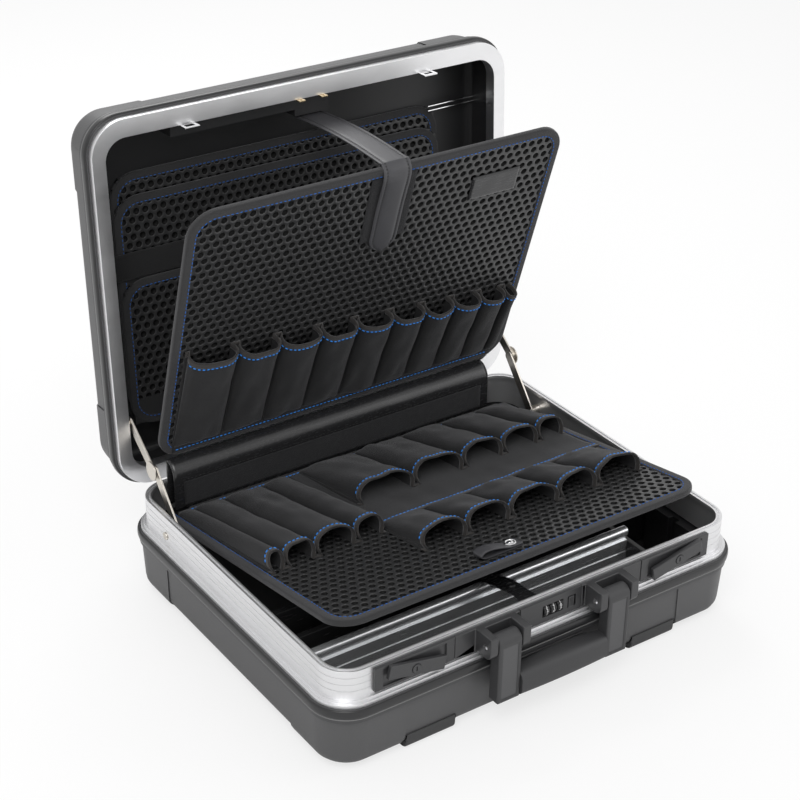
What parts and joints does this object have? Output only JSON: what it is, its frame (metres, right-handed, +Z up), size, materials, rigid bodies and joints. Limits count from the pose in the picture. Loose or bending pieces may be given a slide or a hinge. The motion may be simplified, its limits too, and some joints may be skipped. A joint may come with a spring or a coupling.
{
  "type": "hard tool case",
  "caption": "Hard tool case shown open, with an aluminium rim, hinged lid, folding stays, latches, a dial lock and pocketed tool boards.",
  "frame": {"origin": "middle of the case's outline on the surface that it stands on, lid open", "axes": "+Z up, +Y towards the hinges, +X to the right seen from the handle side"},
  "size_m": [0.484, 0.4972, 0.4846],
  "materials": {
    "shell": "moulded grain, satin",
    "aluminium": "brushed, satin",
    "black_plastic": "smooth, satin",
    "lining": "fine grain",
    "board": "satin",
    "steel": "nickel plated",
    "chrome": "polished",
    "brass": "polished",
    "feet": "matt",
    "fabric": "woven, bound and stitched",
    "leather": "smooth artificial leather"
  },
  "bodies": {
    "base": {"base_shell": "shell", "base_band": "aluminium", "feet_front": "feet", "feet_rear": "feet", "divider_rails": "black_plastic", "divider_front": "aluminium", "divider_middle": "black_plastic", "divider_rear": "black_plastic", "divider_cross": "black_plastic", "hinge_base_leaves": "steel", "hinge_pins": "steel", "stay_rivets_base": "steel", "latch_plate_left": "black_plastic", "latch_plate_right": "black_plastic", "lock_plate": "black_plastic", "dial_axle": "steel", "handle_bracket_left": "black_plastic", "handle_bracket_right": "black_plastic", "handle_pins": "steel", "spine": "leather", "closing_tongue": "leather"},
    "lid": {"lid_shell": "shell", "lid_frame": "aluminium", "lid_liner": "lining", "hinge_lid_leaves": "steel", "stay_rivets_lid": "steel", "lid_board_rear": "board", "lid_board_front": "board", "lid_pocket_board": "black_plastic", "lid_band": "fabric", "lid_wire": "chrome", "latch_hooks": "chrome", "lock_hooks": "brass", "strap_span": "leather"},
    "upper_pallet": {"upper_board": "board", "upper_binding": "fabric", "upper_pockets_left": "fabric", "upper_pockets_right": "fabric", "upper_trim": "leather"},
    "pallet_hem": {"lower_hem": "fabric"},
    "lower_pallet": {"lower_board": "board", "lower_binding": "fabric", "lower_pockets_left": "fabric", "lower_pockets_middle": "fabric", "lower_pockets_short": "fabric", "loop_strap": "fabric"},
    "handle": {"handle_arms": "black_plastic", "handle_grip": "black_plastic"},
    "stay_lower_left": {"stay_lower_left": "steel"},
    "stay_lower_right": {"stay_lower_right": "steel"},
    "stay_upper_left": {"stay_upper_left": "steel"},
    "stay_upper_right": {"stay_upper_right": "steel"},
    "latch_lever_left": {"latch_lever_left": "black_plastic"},
    "latch_lever_right": {"latch_lever_right": "black_plastic"},
    "key_cylinder_left": {"key_cylinder_left": "steel"},
    "key_cylinder_right": {"key_cylinder_right": "steel"},
    "dial_1": {"dial_1": "black_plastic"},
    "dial_2": {"dial_2": "black_plastic"},
    "dial_3": {"dial_3": "black_plastic"},
    "lock_slide": {"lock_slide": "black_plastic"}
  },
  "joints": [
    {"name": "lid_hinge", "type": "hinge", "parent": "base", "child": "lid", "pos_m": [0, 0.16238, 0.1], "axis": [1, 0, 0], "range_deg": [0, 93], "deforming": ["strap_span"]},
    {"name": "upper_pallet_hinge", "type": "hinge", "parent": "base", "child": "upper_pallet", "pos_m": [0, 0.14342, 0.14008], "axis": [1, 0, 0], "range_deg": [0, 72.8]},
    {"name": "pallet_press", "type": "hinge", "parent": "base", "child": "pallet_hem", "pos_m": [0, 0.13038, 0.084], "axis": [1, 0, 0], "range_deg": [0, 6.1]},
    {"name": "lower_pallet_lift", "type": "hinge", "parent": "pallet_hem", "child": "lower_pallet", "pos_m": [0, 0.12206, 0.08863], "axis": [1, 0, 0], "range_deg": [-45, 0]},
    {"name": "stay_lower_left_pivot", "type": "hinge", "parent": "base", "child": "stay_lower_left", "pos_m": [-0.22, 0.09238, 0.087], "axis": [1, 0, 0], "range_deg": [0, 102.83]},
    {"name": "stay_lower_right_pivot", "type": "hinge", "parent": "base", "child": "stay_lower_right", "pos_m": [0.22, 0.09238, 0.087], "axis": [1, 0, 0], "range_deg": [0, 102.83]},
    {"name": "stay_upper_left_pivot", "type": "hinge", "parent": "lid", "child": "stay_upper_left", "pos_m": [-0.223, 0.17938, 0.171], "axis": [1, 0, 0], "range_deg": [-133.72, 0]},
    {"name": "stay_upper_right_pivot", "type": "hinge", "parent": "lid", "child": "stay_upper_right", "pos_m": [0.223, 0.17938, 0.171], "axis": [1, 0, 0], "range_deg": [-133.72, 0]},
    {"name": "latch_left", "type": "hinge", "parent": "base", "child": "latch_lever_left", "pos_m": [-0.155, -0.21992, 0.0935], "axis": [0, -1, 0], "range_deg": [0, 12]},
    {"name": "latch_right", "type": "hinge", "parent": "base", "child": "latch_lever_right", "pos_m": [0.155, -0.21992, 0.0935], "axis": [0, 1, 0], "range_deg": [0, 12]},
    {"name": "key_left", "type": "hinge", "parent": "latch_lever_left", "child": "key_cylinder_left", "pos_m": [-0.155, -0.21992, 0.0935], "axis": [0, 1, 0], "range_deg": [0, 90]},
    {"name": "key_right", "type": "hinge", "parent": "latch_lever_right", "child": "key_cylinder_right", "pos_m": [0.155, -0.21992, 0.0935], "axis": [0, 1, 0], "range_deg": [0, 90]},
    {"name": "dial_1_turn", "type": "hinge", "parent": "base", "child": "dial_1", "pos_m": [-0.0055, -0.21612, 0.093], "axis": [1, 0, 0], "continuous": true},
    {"name": "dial_2_turn", "type": "hinge", "parent": "base", "child": "dial_2", "pos_m": [0.0025, -0.21612, 0.093], "axis": [1, 0, 0], "continuous": true},
    {"name": "dial_3_turn", "type": "hinge", "parent": "base", "child": "dial_3", "pos_m": [0.0105, -0.21612, 0.093], "axis": [1, 0, 0], "continuous": true},
    {"name": "lock_slide_travel", "type": "slide", "parent": "base", "child": "lock_slide", "axis": [1, 0, 0], "range_m": [0, 0.003], "stiffness_N_per_m": 150},
    {"name": "handle_hinge", "type": "hinge", "parent": "base", "child": "handle", "pos_m": [0, -0.23412, 0.094], "axis": [-1, 0, 0], "range_deg": [0, 95]}
  ],
  "couplings": [
    {"joint": "upper_pallet_hinge", "follows": "lid_hinge", "ratio": 0.7828},
    {"joint": "pallet_press", "follows": "lid_hinge", "ratio": 0.0656},
    {"joint": "stay_lower_left_pivot", "follows": "lid_hinge", "ratio": 1.1057},
    {"joint": "stay_upper_left_pivot", "follows": "lid_hinge", "ratio": -1.4378},
    {"joint": "stay_lower_right_pivot", "follows": "lid_hinge", "ratio": 1.1057},
    {"joint": "stay_upper_right_pivot", "follows": "lid_hinge", "ratio": -1.4378}
  ]
}
